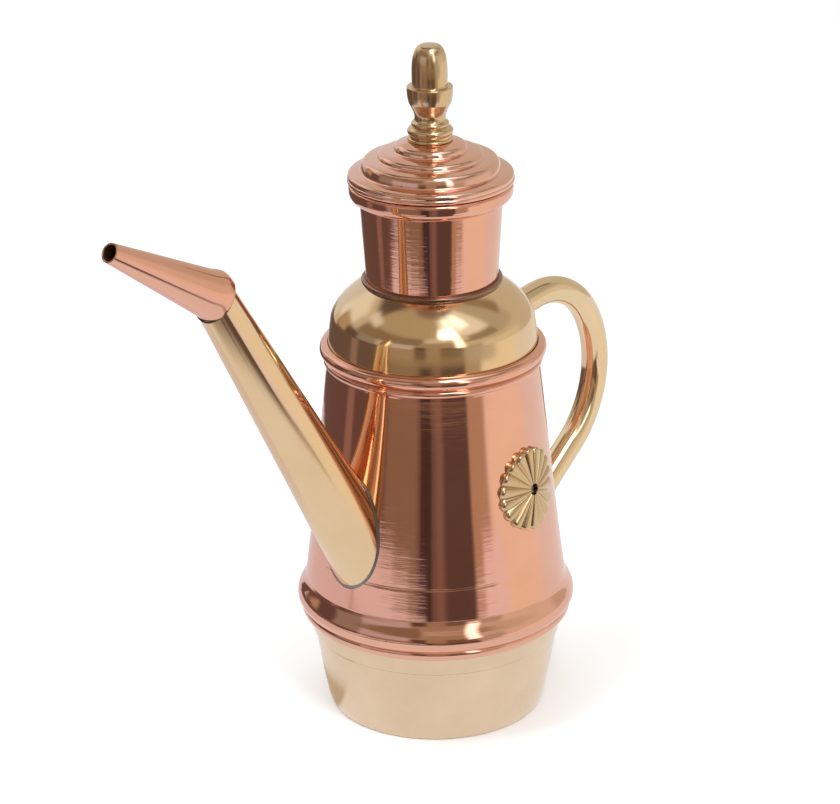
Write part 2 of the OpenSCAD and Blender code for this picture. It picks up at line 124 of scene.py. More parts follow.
def foot_outline():
    return (
        arc(FOOT_LOW_R - FOOT_CORNER_R, FOOT_CORNER_R, FOOT_CORNER_R, -90, -8, 12)
        + curve((FOOT_LOW_R + 0.9, 3.9), (FOOT_LOW_R + 2.6, 11),
                (FOOT_WAIST_R - 0.7, FOOT_WAIST_Z - 5), (FOOT_WAIST_R, FOOT_WAIST_Z), 20)
        + curve((FOOT_WAIST_R + 0.2, FOOT_WAIST_Z + 1), (FOOT_WAIST_R + 0.6, FOOT_WAIST_Z + 3),
                (FOOT_WAIST_R + 1, FOOT_BAND_Z - 2.2), (FOOT_STEP_R - 0.8, FOOT_BAND_Z - 0.9), 12)
        + arc(FOOT_STEP_R - 0.7, FOOT_BAND_Z + 0.4, 0.7, -70, 0, 8)
        + [(FOOT_BAND_R, FOOT_H - 0.7), (FOOT_BAND_R + 0.1, FOOT_H + 1),
           (FOOT_BAND_R + 0.1, FOOT_H + FOOT_TUCK)]
    )


def body_outline():
    return (
        arc(LIP_X, CREASE_Z - 2.4, LIP_R, -78, 52, 18)
        + arc(LOW_BEAD_R - LOW_BEAD_CURVE, LOW_BEAD_Z, LOW_BEAD_CURVE, -42, 0, 14)
        + arc(LOW_BEAD_R - BEAD_TOP_CURVE, LOW_BEAD_Z, BEAD_TOP_CURVE, 2, 31, 14)
        + curve((LOW_BEAD_R - 1.15, LOW_BEAD_Z + 3.9), (CONE_LOW_R + 0.8, CONE_LOW_Z - 3.4),
                (CONE_LOW_R + 0.35, CONE_LOW_Z - 2.8), (CONE_LOW_R, CONE_LOW_Z), 14)
        + curve((CONE_LOW_R - 1.1, CONE_LOW_Z + 8), (CONE_LOW_R - 2.9, CONE_LOW_Z + 22),
                (CONE_TOP_R + 3.4, CONE_TOP_Z - 32), (CONE_TOP_R, CONE_TOP_Z), 24)
        + arc(TOP_BEAD_R - 3, TOP_BEAD_Z - 4.7, THIN_BEAD_CURVE, -75, 62, 14)
        + arc(TOP_BEAD_R - TOP_BEAD_CURVE, TOP_BEAD_Z, TOP_BEAD_CURVE, -62, 100, 20)
    )


def shoulder_outline():
    turn_z = SHOULDER_TOP_Z - 15.5
    mouth_r = COLLAR_LOW_R + 0.05
    return (
        [(SHOULDER_R, SHOULDER_LOW_Z)]
        + curve((SHOULDER_R, SHOULDER_LOW_Z + 2), (SHOULDER_R, SHOULDER_LOW_Z + 9),
                (SHOULDER_R - 0.75, turn_z - 3.5), (SHOULDER_R - 1.3, turn_z), 20)
        + curve((SHOULDER_R - 1.33, turn_z + 0.2), (SHOULDER_R - 2.3, turn_z + 5.3),
                (mouth_r + 6.55, SHOULDER_TOP_Z - 3.8), (mouth_r, SHOULDER_TOP_Z), 44)
    )


def collar_outline():
    return (
        [(COLLAR_LOW_R - 0.2, COLLAR_LOW_Z), (COLLAR_LOW_R, SHOULDER_TOP_Z), (COLLAR_TOP_R, RIM_LOW_Z)]
        + curve((COLLAR_TOP_R + 0.9, RIM_LOW_Z + 0.4), (COLLAR_TOP_R + 2.6, RIM_LOW_Z + 1),
                (RIM_R, RIM_LOW_Z + 2.4), (RIM_R, RIM_LOW_Z + 4.6), 18)
        + arc(RIM_R - 1.4, RIM_TOP_Z - 1.4, 1.4, 0, 90, 12)
        + arc(COLLAR_TOP_R + 2, RIM_TOP_Z - 1.3, 1.3, 90, 172, 10)
        + [(COLLAR_TOP_R + 0.75, RIM_LOW_Z + 3.4)]
    )


def tread(r0, z0, r1, z1):
    """A gently domed tread in to the next riser, and the riser's rounded top."""
    return (
        curve((r0, z0), (r0 - 1.2, z0 + 0.25), (r1 + 1.5, z0 + 0.4), (r1 + 0.5, z0 + 0.5), 12)
        + curve((r1 + 0.05, z0 + 0.95), (r1 - 0.05, z0 + 1.8), (r1 - 0.6, z1 - 0.3), (r1 - 2.2, z1), 16)
    )


def lid_outline():
    return (
        [(LID_R - 3.2, LID_Z + 1), (LID_R - 2.8, LID_Z)]
        + arc(LID_R - 1.1, LID_Z + 1.1, 1.1, -90, 50, 16)
        + arc(LID_R - 1.75, LID_FLANGE_Z - 1.35, 1.45, -18, 80, 14)
        + tread(LID_R - 2.2, LID_FLANGE_Z + 0.25, STEP_R[0], STEP_Z[0])
        + tread(STEP_R[0] - 2.4, STEP_Z[0] + 0.05, STEP_R[1], STEP_Z[1])
        + tread(STEP_R[1] - 2.4, STEP_Z[1] + 0.05, STEP_R[2], STEP_Z[2])
        + [(STEP_R[2] - 3.2, LID_TOP_Z - 0.45), (STEP_R[2] - 4.4, LID_TOP_Z - 0.05),
           (STEP_R[2] - 4.8, LID_TOP_Z), (SCREW_R + 0.2, LID_TOP_Z)]
    )


def knob_outline():
    low = LID_TOP_Z
    return (
        [(SCREW_R + 0.1, low + KNOB_HOLE_H), (SCREW_R + 0.1, low)]
        + arc(KNOB_R - 0.7, low + 0.7, 0.7, -90, 80, 12)
        + [(KNOB_R - 0.85, low + 1.55)]
        + arc(KNOB_R - 1.75, low + 3.75, 1.75, -60, 62, 18)
        + arc(KNOB_R - 2.75, low + 6.7, 1.15, -50, 62, 14)
        + curve((KNOB_R - 2.7, low + 8.1), (KNOB_R - 3.2, low + 9.4),
                (KNOB_R - 3.1, low + 10.8), (KNOB_R - 0.95, low + 14.7), 18)
        + curve((KNOB_R - 0.75, low + 15.1), (KNOB_R - 0.3, low + 16.6),
                (KNOB_R, low + 18.3), (KNOB_R, low + 20.5), 12)
        + arc(KNOB_R - 0.5, low + 21.4, 0.5, 0, 90, 8)
        + [(ACORN_R + 0.2, low + 21.9), (ACORN_R, low + 22.2)]
        + curve((ACORN_R + 0.1, KNOB_TOP_Z - 12), (ACORN_R + 0.1, KNOB_TOP_Z - 5),
                (ACORN_R - 0.7, KNOB_TOP_Z - 3.2), (ACORN_R - 1.6, KNOB_TOP_Z - 1.6), 16)
        + curve((ACORN_R - 2, KNOB_TOP_Z - 1), (ACORN_R - 2.6, KNOB_TOP_Z - 0.3),
                (ACORN_R - 3.1, KNOB_TOP_Z), (ACORN_R - 4, KNOB_TOP_Z), 8)
        + [(0, KNOB_TOP_Z)]
    )


# The can's outer radius at a height, which the fittings are cut to: the body up to its top beads, then
# the shoulder
WALL_STEP, BODY_END_Z = 0.4, 160
WALL = sorted(
    [(z, r) for r, z in densify(body_outline(), WALL_STEP)]
    + [(z, r) for r, z in densify(shoulder_outline(), WALL_STEP) if z >= BODY_END_Z]
)


def wall_r(z):
    if z <= WALL[0][0]:
        return WALL[0][1]
    for (z0, r0), (z1, r1) in zip(WALL[:-1], WALL[1:]):
        if z0 <= z <= z1:
            return r0 + (r1 - r0) * (z - z0) / max(z1 - z0, 1e-6)
    return 0.0


def on_wall(point, lift=0.0):
    """The point moved straight out or in to the can's wall."""
    r = max(math.hypot(point.x, point.y), 1e-6)
    k = (wall_r(point.z) + lift) / r
    return Vector((point.x * k, point.y * k, point.z))


# ---------------------------------------------------------------- mesh building
def finish_mesh(name, bm, materials, sharp=38):
    """Makes an object of a bmesh that is in millimetres."""
    bmesh.ops.scale(bm, vec=(MM, MM, MM), verts=bm.verts)
    bmesh.ops.recalc_face_normals(bm, faces=bm.faces)
    mesh = bpy.data.meshes.new(name)
    bm.to_mesh(mesh)
    bm.free()
    for poly in mesh.polygons:
        poly.use_smooth = True
    mesh.set_sharp_from_angle(angle=math.radians(sharp))
    for material in materials:
        mesh.materials.append(material)
    obj = bpy.data.objects.new(name, mesh)
    bpy.context.scene.collection.objects.link(obj)
    return obj


def grid_faces(bm, rows, close_rows=False, slots=None):
    """Quads between rows of vertices; each row is a closed ring."""
    pairs = list(zip(rows[:-1], rows[1:]))
    if close_rows:
        pairs.append((rows[-1], rows[0]))
    for k, (low, high) in enumerate(pairs):
        n = max(len(low), len(high))
        for i in range(n):
            j = (i + 1) % n
            ring = [low[i % len(low)], low[j % len(low)], high[j % len(high)], high[i % len(high)]]
            corners = list(dict.fromkeys(ring))
            if len(corners) > 2:
                face = bm.faces.new(corners)
                face.material_index = slots[k] if slots else 0


def ring_verts(bm, points):
    return [bm.verts.new(p) for p in points]


# How quickly the hand-made unevenness changes round the can and up it
WOBBLE_ROUND, WOBBLE_UP = 1.7, 0.035


def lathe(name, section, materials, steps=256, wobble=0.0, slots=None, sharp=38):
    """A closed section turned about the can's axis; a point on the axis becomes one vertex."""
    bm = bmesh.new()
    rows = []
    for r, z in section:
        if r < 1e-6:
            rows.append(ring_verts(bm, [(0, 0, z)]))
            continue
        ring = []
        for i in range(steps):
            a = TURN * i / steps
            c, s = math.cos(a), math.sin(a)
            uneven = noise.noise(Vector((c * WOBBLE_ROUND, s * WOBBLE_ROUND, z * WOBBLE_UP)))
            d = wobble * uneven if wobble else 0.0
            ring.append(((r + d) * c, (r + d) * s, z))
        rows.append(ring_verts(bm, ring))
    grid_faces(bm, rows, close_rows=section[0][0] > 1e-6 or section[-1][0] > 1e-6, slots=slots)
    return finish_mesh(name, bm, materials, sharp)


# The longest step along the unseen inside of a sheet
INSIDE_STEP = 2.5


def sheet_section(outer, t, step=1.0, finer=None):
    """The closed section of a spun sheet: the outer outline up, and the inner one back down."""
    face = finer or densify(outer, step)
    back = densify(shifted(outer, -t), INSIDE_STEP)
    return face + back[::-1], [0] * len(face) + [1] * len(back)


# ---------------------------------------------------------------- materials
def new_material(name):
    mat = bpy.data.materials.new(name)
    mat.use_nodes = True
    tree = mat.node_tree
    return mat, tree, tree.nodes["Principled BSDF"]


def link(tree, a, b):
    tree.links.new(a, b)


def turned_coords(tree, around, along):
    """Coordinates for marks that run round the can: the direction from the axis, and the height."""
    coord = tree.nodes.new("ShaderNodeTexCoord")
    split = tree.nodes.new("ShaderNodeSeparateXYZ")
    link(tree, coord.outputs["Object"], split.inputs[0])
    flat = tree.nodes.new("ShaderNodeCombineXYZ")
    link(tree, split.outputs[0], flat.inputs[0])
    link(tree, split.outputs[1], flat.inputs[1])
    unit = tree.nodes.new("ShaderNodeVectorMath")
    unit.operation = "NORMALIZE"
    link(tree, flat.outputs[0], unit.inputs[0])
    wide = tree.nodes.new("ShaderNodeVectorMath")
    wide.operation = "SCALE"
    wide.inputs["Scale"].default_value = around
    link(tree, unit.outputs[0], wide.inputs[0])
    tall = tree.nodes.new("ShaderNodeMath")
    tall.operation = "MULTIPLY"
    tall.inputs[1].default_value = along
    link(tree, split.outputs[2], tall.inputs[0])
    lift = tree.nodes.new("ShaderNodeCombineXYZ")
    link(tree, tall.outputs[0], lift.inputs[2])
    both = tree.nodes.new("ShaderNodeVectorMath")
    both.operation = "ADD"
    link(tree, wide.outputs[0], both.inputs[0])
    link(tree, lift.outputs[0], both.inputs[1])
    return both.outputs[0]


def object_coords(tree):
    return tree.nodes.new("ShaderNodeTexCoord").outputs["Object"]


def noise_node(tree, vector, scale, detail=3.0, rough=0.55):
    node = tree.nodes.new("ShaderNodeTexNoise")
    node.inputs["Scale"].default_value = scale
    node.inputs["Detail"].default_value = detail
    node.inputs["Roughness"].default_value = rough
    link(tree, vector, node.inputs["Vector"])
    return node.outputs["Fac"]


def ranged(tree, value, low, high, new_low, new_high):
    node = tree.nodes.new("ShaderNodeMapRange")
    node.inputs["From Min"].default_value = low
    node.inputs["From Max"].default_value = high
    node.inputs["To Min"].default_value = new_low
    node.inputs["To Max"].default_value = new_high
    link(tree, value, node.inputs["Value"])
    return node.outputs["Result"]


def tinted(tree, fac, low, high):
    node = tree.nodes.new("ShaderNodeMix")
    node.data_type = "RGBA"
    node.inputs["A"].default_value = (*low, 1)
    node.inputs["B"].default_value = (*high, 1)
    link(tree, fac, node.inputs["Factor"])
    return node.outputs["Result"]


def bumped(tree, height, distance, strength, normal=None):
    node = tree.nodes.new("ShaderNodeBump")
    node.inputs["Distance"].default_value = distance
    node.inputs["Strength"].default_value = strength
    link(tree, height, node.inputs["Height"])
    if normal is not None:
        link(tree, normal, node.inputs["Normal"])
    return node.outputs["Normal"]


QUARTER_TURN = 0.25


def metal(name, low, high, rough, lines=0.0, mottle=0.0, lines_along=900.0, lines_around=2.0, waves=0.0,
          brushed=0.0):
    """Polished metal. lines, waves and mottle are depths in metres of the spinning lines, of broader
    bands round the can and of a soft unevenness; brushed is how far the lines stretch a highlight."""
    mat, tree, bsdf = new_material(name)
    bsdf.inputs["Metallic"].default_value = 1.0
    place = object_coords(tree)
    cloud = noise_node(tree, place, scale=35.0, detail=4.0)
    link(tree, tinted(tree, ranged(tree, cloud, 0.3, 0.7, 0.0, 1.0), low, high), bsdf.inputs["Base Color"])
    smear = noise_node(tree, place, scale=90.0, detail=5.0, rough=0.65)
    link(tree, ranged(tree, smear, 0.35, 0.75, rough[0], rough[1]), bsdf.inputs["Roughness"])
    if brushed:
        bsdf.inputs["Anisotropic"].default_value = brushed
        bsdf.inputs["Anisotropic Rotation"].default_value = QUARTER_TURN
        tangent = tree.nodes.new("ShaderNodeTangent")
        tangent.direction_type = "RADIAL"
        tangent.axis = "Z"
        link(tree, tangent.outputs[0], bsdf.inputs["Tangent"])
    normal = None
    if mottle:
        soft = noise_node(tree, place, scale=60.0, detail=2.0)
        normal = bumped(tree, soft, mottle, 1.0)
    if waves:
        bands = turned_coords(tree, around=1.6, along=170.0)
        broad = noise_node(tree, bands, scale=1.0, detail=2.0, rough=0.5)
        normal = bumped(tree, broad, waves, 1.0, normal)
    if lines:
        turned = turned_coords(tree, lines_around, lines_along)
        grain = noise_node(tree, turned, scale=1.0, detail=3.0, rough=0.6)
        normal = bumped(tree, grain, lines, 1.0, normal)
    if normal is not None:
        link(tree, normal, bsdf.inputs["Normal"])
    return mat


# Each metal's colour runs between a low and a high one, and its roughness between two values
COPPER_LOW, COPPER_HIGH = (0.84, 0.45, 0.325), (0.88, 0.49, 0.365)
BRASS_LOW, BRASS_HIGH = (0.83, 0.595, 0.35), (0.87, 0.63, 0.40)

copper_body = metal("copper_spun_body", COPPER_LOW, COPPER_HIGH, (0.05, 0.09), lines=0.00002, mottle=0.000015,
                    lines_around=3.0, waves=0.00005, brushed=0.6)
copper_collar = metal("copper_spun_collar", COPPER_LOW, COPPER_HIGH, (0.05, 0.09), lines=0.00004,
                      lines_along=1100.0, waves=0.00005, brushed=0.6)
copper_lid = metal("copper_spun_lid", (0.87, 0.51, 0.39), (0.91, 0.55, 0.43), (0.06, 0.10), lines=0.00003,
                   lines_along=2200.0, brushed=0.85)
copper_tip = metal("copper_tip", COPPER_LOW, COPPER_HIGH, (0.08, 0.15), mottle=0.00003)
brass_foot = metal("brass_spun_foot", (0.80, 0.59, 0.40), (0.88, 0.66, 0.47), (0.09, 0.16), lines=0.00002,
                   brushed=0.5, waves=0.00005)
brass_shoulder = metal("brass_spun_shoulder", BRASS_LOW, BRASS_HIGH, (0.10, 0.16), lines=0.000012,
                       lines_along=1200.0, brushed=0.5)
brass_spout = metal("brass_spout", BRASS_LOW, BRASS_HIGH, (0.08, 0.15), mottle=0.00003)
brass_handle = metal("brass_handle", (0.85, 0.65, 0.41), (0.89, 0.69, 0.46), (0.07, 0.13), mottle=0.00002)
brass_knob = metal("brass_turned_knob", (0.68, 0.50, 0.30), (0.78, 0.58, 0.37), (0.15, 0.24), lines=0.00002,
                   lines_along=2500.0)
brass_rosette = metal("brass_stamped_rosette", (0.62, 0.44, 0.25), (0.76, 0.56, 0.34), (0.14, 0.24),
                      mottle=0.00002)
solder = metal("tin_solder", (0.16, 0.145, 0.13), (0.34, 0.32, 0.29), (0.3, 0.5), mottle=0.0001)
dark_solder = metal("dark_solder", (0.13, 0.085, 0.06), (0.24, 0.16, 0.12), (0.3, 0.45), mottle=0.00005)
brown_solder = metal("brown_solder", (0.27, 0.16, 0.12), (0.38, 0.25, 0.20), (0.2, 0.3), mottle=0.00002)
tarnished = metal("tarnished_inside", (0.42, 0.25, 0.15), (0.58, 0.36, 0.23), (0.4, 0.6), mottle=0.00005)
tinned = metal("tinned_inside", (0.48, 0.47, 0.45), (0.62, 0.61, 0.59), (0.22, 0.38), lines=0.00003)
steel = metal("plain_steel", (0.45, 0.45, 0.47), (0.58, 0.58, 0.6), (0.22, 0.35), mottle=0.00001)


# ---------------------------------------------------------------- turned pieces
def stands_for(piece, node, body):
    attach(piece, body)
    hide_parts(node)
    return piece


def make_foot():
    outer = foot_outline()
    base = [(r, 0) for r in (0, 20, 38)]
    wall = densify(outer, 0.8)
    above_corner = outer[10:]
    inner = densify(shifted(above_corner, -SHEET), INSIDE_STEP)[::-1]
    inner += [(r, BOTTOM_T) for r in (40, 20, 0)]
    section = base + wall + inner
    slots = [0] * (len(base) + len(wall)) + [1] * len(inner)
    foot = lathe("foot_brass", section, [brass_foot, tinned], wobble=0.05, slots=slots)
    return stands_for(foot, "foot_cup", "can")


def make_body():
    outer = body_outline()
    face = densify(outer, 0.45)
    for z, depth, width in SCRIBED_LINES:
        face = scribed(face, z, depth, width)
    section, slots = sheet_section(outer, SHEET, finer=face)
    body = lathe("body_copper", section, [copper_body, tinned], steps=320, wobble=0.10, slots=slots)
    return stands_for(body, "body_shell", "can")


def make_shoulder():
    section, slots = sheet_section(shoulder_outline(), SHEET, 0.5)
    shoulder = lathe("shoulder_brass", section, [brass_shoulder, tinned], steps=320, wobble=0.04, slots=slots)
    return stands_for(shoulder, "shoulder_dome", "can")


def make_collar():
    section, slots = sheet_section(collar_outline(), SHEET, 0.5)
    collar = lathe("collar_copper", section, [copper_collar, tinned], steps=256, wobble=0.06, slots=slots)
    return stands_for(collar, "neck_collar", "can")


def make_neck_solder():
    low = SHOULDER_TOP_Z
    bead_r = 1.05
    bead = arc(COLLAR_LOW_R + 0.85, low + 0.3, bead_r, 138, -52, 14)
    foot = [(COLLAR_LOW_R + 1.1, low - 0.9), (COLLAR_LOW_R + 0.06, low - 0.2)]
    ring = lathe("neck_solder_ring", foot + bead, [brown_solder], steps=192, wobble=0.08)
    return stands_for(ring, "neck_solder", "can")


def make_lid():
    section, slots = sheet_section(lid_outline(), SHEET, 0.5)
    lid = lathe("lid_copper", section, [copper_lid, tinned], steps=256, wobble=0.03, slots=slots)
    return stands_for(lid, "lid_cap", "lid")


def make_sleeve():
    rounded = arc(SLEEVE_R - SLEEVE_EDGE_R, SLEEVE_LOW_Z + SLEEVE_EDGE_R, SLEEVE_EDGE_R, -80, 0, 6)
    section, slots = sheet_section(rounded + [(SLEEVE_R, SLEEVE_TOP_Z)], SLEEVE_T, 1.5)
    sleeve = lathe("sleeve_copper", section, [copper_lid, tinned], steps=192, slots=slots)
    return stands_for(sleeve, "lid_sleeve", "lid")


def make_knob():
    screw_hole_end = [(0, LID_TOP_Z + KNOB_HOLE_H)]
    knob = lathe("knob_brass", densify(knob_outline(), 0.4) + screw_hole_end, [brass_knob], steps=160)
    return stands_for(knob, "lid_knob", "lid")


# ---------------------------------------------------------------- spout
TUBE_DIR = Vector((math.cos(TUBE_SLOPE), 0, math.sin(TUBE_SLOPE)))
TUBE_SIDE = Vector((-math.sin(TUBE_SLOPE), 0, math.cos(TUBE_SLOPE)))
ACROSS = Vector((0, 1, 0))


def tube_point(back, angle, grow=0.0):
    """A point of the lower tube, back millimetres before the elbow."""
    r = TUBE_ELBOW_R + TUBE_TAPER * back + grow
    return ELBOW - TUBE_DIR * back + r * (math.cos(angle) * TUBE_SIDE + math.sin(angle) * ACROSS)


def meets_wall(point_at, outside, inside):
    """Where a line of points, outside the can at one end and inside at the other, meets the wall."""
    halvings = 30
    for _ in range(halvings):
        middle = (outside + inside) / 2
        p = point_at(middle)
        if math.hypot(p.x, p.y) > wall_r(p.z):
            outside = middle
        else:
            inside = middle
    return outside


def make_spout_tube():
    """The brass tube, and how far back from the elbow each of its lines meets the can."""
    steps, rings, inside_stride = 144, 90, 6
    tube_end, nearest, farthest = 0.9, 70, 166
    roots = [meets_wall(lambda b, a=TURN * i / steps: tube_point(b, a), nearest, farthest)
             for i in range(steps)]

    def skin(stride, grow):
        return [[tube_point(roots[i] + (tube_end - roots[i]) * k / rings, TURN * i / steps, grow)
                 for i in range(steps)] for k in range(0, rings + 1, stride)]

    bm = bmesh.new()
    outer = [ring_verts(bm, row) for row in skin(1, 0.0)]
    inner = [ring_verts(bm, row) for row in skin(inside_stride, -SHEET)]
    grid_faces(bm, outer + inner[::-1], close_rows=True, slots=[0] * len(outer) + [1] * len(inner))
    tube = finish_mesh("spout_tube_brass", bm, [brass_spout, tinned])
    return stands_for(tube, "spout_tube", "can"), roots


def fillet_ring(name, roots, point_at, rise, spread, material, swell=0.25):
    """A band of solder in the corner of a tube and the can's wall: rise up the tube, spread on the wall."""
    steps, curve_rows = len(roots), 6
    hollow, sunk, proud = 0.18, 0.25, 0.06
    bm = bmesh.new()
    rows = [[] for _ in range(curve_rows + 2)]
    centre = sum((point_at(roots[i], TURN * i / steps) for i in range(steps)), Vector()) / steps
    for i in range(steps):
        a = TURN * i / steps
        root = point_at(roots[i], a)
        up = (point_at(roots[i] - 1.0, a) - root).normalized()
        before, after = (i - 1) % steps, (i + 1) % steps
        along = point_at(roots[after], TURN * after / steps) - point_at(roots[before], TURN * before / steps)
        out = Vector((root.x, root.y, 0)).normalized()
        away = along.cross(out).normalized()
        if away.dot(root - centre) < 0:
            away = -away
        uneven = 1 + swell * noise.noise(Vector((math.cos(a) * 2.3, math.sin(a) * 2.3, rise)))
        top = root + up * rise * uneven
        low = on_wall(root + away * spread * uneven, proud)
        bend = root + away * hollow + up * hollow
        for k in range(curve_rows):
            t = k / (curve_rows - 1)
            rows[k].append((1 - t) ** 2 * top + 2 * t * (1 - t) * bend + t * t * low)
        rows[-2].append(on_wall(root + away * spread / 2, -sunk))
        rows[-1].append(point_at(roots[i], a, -0.3) - up * 0.1)
    grid_faces(bm, [ring_verts(bm, row) for row in rows], close_rows=True)
    return finish_mesh(name, bm, [material], sharp=60)


def make_spout():
    _, roots = make_spout_tube()
    bead = fillet_ring("spout_root_fillet", roots, tube_point, rise=0.6, spread=0.95, material=solder)
    stands_for(bead, "spout_root_solder", "can")


# The plane that cuts the tip's skirt off, by its direction and a point of it
SKIRT_PLANE = Vector((math.cos(SKIRT_SLOPE), 0, math.sin(SKIRT_SLOPE)))
SKIRT_AT = ELBOW - TUBE_DIR * SKIRT_BACK
TIP_STEPS = 128


def make_tip():
    """The copper tip: its rim wraps the brass tube, a knuckle turns, and a cone runs to the mouth."""
    tip_dir = Vector((math.cos(TIP_SLOPE), 0, math.sin(TIP_SLOPE)))
    tip_side = Vector((-math.sin(TIP_SLOPE), 0, math.cos(TIP_SLOPE)))
    taper = (TIP_ELBOW_R - MOUTH_R) / TIP_LEN
    turn_at, pull, steps = 6.0, 0.42, TIP_STEPS

    def cone_point(u, a, inset):
        r = TIP_ELBOW_R - taper * u - inset
        axis = ELBOW + tip_dir * u - tip_side * TIP_DROP * (1 - u / TIP_LEN)
        return axis + r * (math.cos(a) * tip_side + math.sin(a) * ACROSS)

    def skirt_point(a, inset, flare):
        r = TUBE_ELBOW_R + SKIRT_WALL + SKIRT_GAP + SKIRT_GAP * math.cos(a) - inset + flare
        q = r * (math.cos(a) * TUBE_SIDE + math.sin(a) * ACROSS)
        base = ELBOW + q
        on_tube = base - TUBE_DIR * ((base - SKIRT_AT).dot(SKIRT_PLANE) / TUBE_DIR.dot(SKIRT_PLANE))
        edge = cone_point(0, a, inset)
        back = cone_point(-1, a, inset) - edge
        on_cone = edge - back * ((edge - SKIRT_AT).dot(SKIRT_PLANE) / back.dot(SKIRT_PLANE))
        return on_tube.lerp(on_cone, 0.8 * ((1 - math.cos(a)) / 2) ** 2)

    def skin(inset, turn_rows, cone_rows):
        out = [[skirt_point(TURN * i / steps, inset, SKIRT_FLARE) for i in range(steps)]]
        for k in range(1, turn_rows + 1):
            t = k / turn_rows
            row = []
            for i in range(steps):
                a = TURN * i / steps
                p0 = skirt_point(a, inset, 0.0)
                p3 = cone_point(turn_at, a, inset)
                reach = (p3 - p0).length
                inner_side = ((1 - math.cos(a)) / 2) ** 2
                p1 = p0.lerp(p3, pull).lerp(p0 + TUBE_DIR * reach * pull, 1 - inner_side)
                p2 = p3 - (cone_point(turn_at + 1, a, inset) - p3).normalized() * reach * pull
                u = 1 - t
                row.append(u ** 3 * p0 + 3 * u * u * t * p1 + 3 * u * t * t * p2 + t ** 3 * p3)
            out.append(row)
        for k in range(1, cone_rows + 1):
            at = turn_at + (TIP_LEN - turn_at) * k / cone_rows
            out.append([cone_point(at, TURN * i / steps, inset) for i in range(steps)])
        return out

    bm = bmesh.new()
    outer = [ring_verts(bm, row) for row in skin(0.0, turn_rows=22, cone_rows=40)]
    lip = [[cone_point(TIP_LEN + 0.18, TURN * i / steps, SKIRT_WALL * part) for i in range(steps)]
           for part in (0.3, 0.7)]
    inner = [ring_verts(bm, row) for row in skin(SKIRT_WALL, turn_rows=8, cone_rows=12)]
    outer += [ring_verts(bm, row) for row in lip]
    grid_faces(bm, outer + inner[::-1], close_rows=True, slots=[0] * len(outer) + [1] * len(inner))
    tip = finish_mesh("spout_tip_copper", bm, [copper_tip, tarnished])
    return stands_for(tip, "spout_tip", "can")


def make_tip_seam():
    """The dark joint line under the tip's rim: its section, out from the tube and down it, swept round."""
    section = ((-0.2, -0.4), (0.62, -0.25), (0.5, 0.25), (0.16, 0.5), (-0.2, 0.6))
    bm = bmesh.new()
    rows = []
    for grow, drop in section:
        row = []
        for i in range(TIP_STEPS):
            base = tube_point(SKIRT_BACK, TURN * i / TIP_STEPS, grow)
            shift = (base - SKIRT_AT).dot(SKIRT_PLANE) / TUBE_DIR.dot(SKIRT_PLANE)
            row.append(base - TUBE_DIR * (shift + drop))
        rows.append(ring_verts(bm, row))
    grid_faces(bm, rows, close_rows=True)
    seam = finish_mesh("tip_seam", bm, [dark_solder])
    return stands_for(seam, "tip_solder", "can")


# ---------------------------------------------------------------- handle
def handle_path():
    """Centre and direction along the handle, from inside the can at the low end to inside at the top."""
    crown = Vector((-ARC_X - (ARC_R - CROWN_R) * math.cos(ARC_JOIN), 0,
                    ARC_Z + (ARC_R - CROWN_R) * math.sin(ARC_JOIN)))
    big = Vector((-ARC_X, 0, ARC_Z))
    stations = []

    def add(centre, radius, a):
        stations.append((centre + radius * Vector((math.cos(a), 0, math.sin(a))),
                         Vector((math.sin(a), 0, -math.cos(a)))))

    rings = 56
    for i in range(rings + 1):
        add(big, ARC_R, math.pi - ARC_END + (ARC_END - ARC_JOIN) * i / rings)
    for i in range(1, rings + 1):
        add(crown, CROWN_R, math.pi - ARC_JOIN + (ARC_JOIN - CROWN_END) * i / rings)
    return stations


def make_handle():
    """The hollow handle: an arc of two radii, and at each end a straight run into the can's wall."""
    steps, run_rows, longest_run = 96, 40, 50
    arcs = handle_path()
    low_at, low_dir = arcs[0]
    top_at, top_dir = arcs[-1]

    def run_point(at, heading, reach, a, r):
        side = Vector((-heading.z, 0, heading.x))
        return at + heading * reach + r * (math.cos(a) * side + math.sin(a) * ACROSS)

    def low_point(reach, a, grow=0.0):
        return run_point(low_at, -low_dir, reach, math.pi - a, HANDLE_R + grow)

    def top_point(reach, a, grow=0.0):
        return run_point(top_at, top_dir, reach, a, HANDLE_R - HANDLE_TAPER + grow)

    def roots_of(point_at):
        return [meets_wall(lambda s, a=TURN * i / steps: point_at(s, a), 0, longest_run)
                for i in range(steps)]

    low_roots, top_roots = roots_of(low_point), roots_of(top_point)

    def skin(inset, stride):
        out = []
        for k in range(0, run_rows, stride):
            f = 1 - k / run_rows
            out.append([low_point(low_roots[i] * f, TURN * i / steps, -inset) for i in range(steps)])
        for k in range(0, len(arcs), stride):
            at, heading = arcs[k]
            r = HANDLE_R - HANDLE_TAPER * k / (len(arcs) - 1) - inset
            out.append([run_point(at, heading, 0, TURN * i / steps, r) for i in range(steps)])
        for k in range(stride, run_rows + 1, stride):
            f = k / run_rows
            out.append([top_point(top_roots[i] * f, TURN * i / steps, -inset) for i in range(steps)])
        return out

    bm = bmesh.new()
    outer = [ring_verts(bm, row) for row in skin(0.0, stride=1)]
    inner = [ring_verts(bm, row) for row in skin(SHEET, stride=4)]
    grid_faces(bm, outer + inner[::-1], close_rows=True)
    handle = finish_mesh("handle_brass", bm, [brass_handle])
    stands_for(handle, "handle_tube", "can")
    low = fillet_ring("handle_low_fillet", low_roots, low_point, rise=0.9, spread=1.2, material=solder)
    stands_for(low, "handle_lower_solder", "can")
    top = fillet_ring("handle_top_fillet", top_roots, top_point, rise=0.7, spread=0.9, material=solder)
    stands_for(top, "handle_upper_solder", "can")


